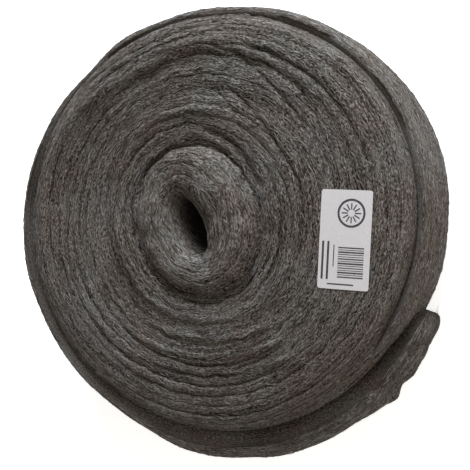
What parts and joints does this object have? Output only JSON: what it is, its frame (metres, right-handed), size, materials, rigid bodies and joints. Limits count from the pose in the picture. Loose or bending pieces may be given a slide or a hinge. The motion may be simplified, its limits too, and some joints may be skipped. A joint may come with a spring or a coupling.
{
  "type": "steel wool roll",
  "caption": "Flat-lying roll of steel wool ribbon with a raised ring of loose turns round a squeezed middle hole, a thick outer turn with a loose end, and a label on its face.",
  "frame": {"origin": "on the ground under the middle of the roll's outline", "axes": "+Z along the winding axis, up out of the face that carries the label; +X from the middle towards the label"},
  "size_m": [0.3596, 0.3636, 0.1073],
  "materials": {
    "steel_wool": "dull grey-brown steel fibre, loose and matted",
    "paper_label": "matt white paper sticker"
  },
  "bodies": {
    "root": {"wool_roll": "steel_wool", "label": "paper_label"}
  },
  "joints": []
}
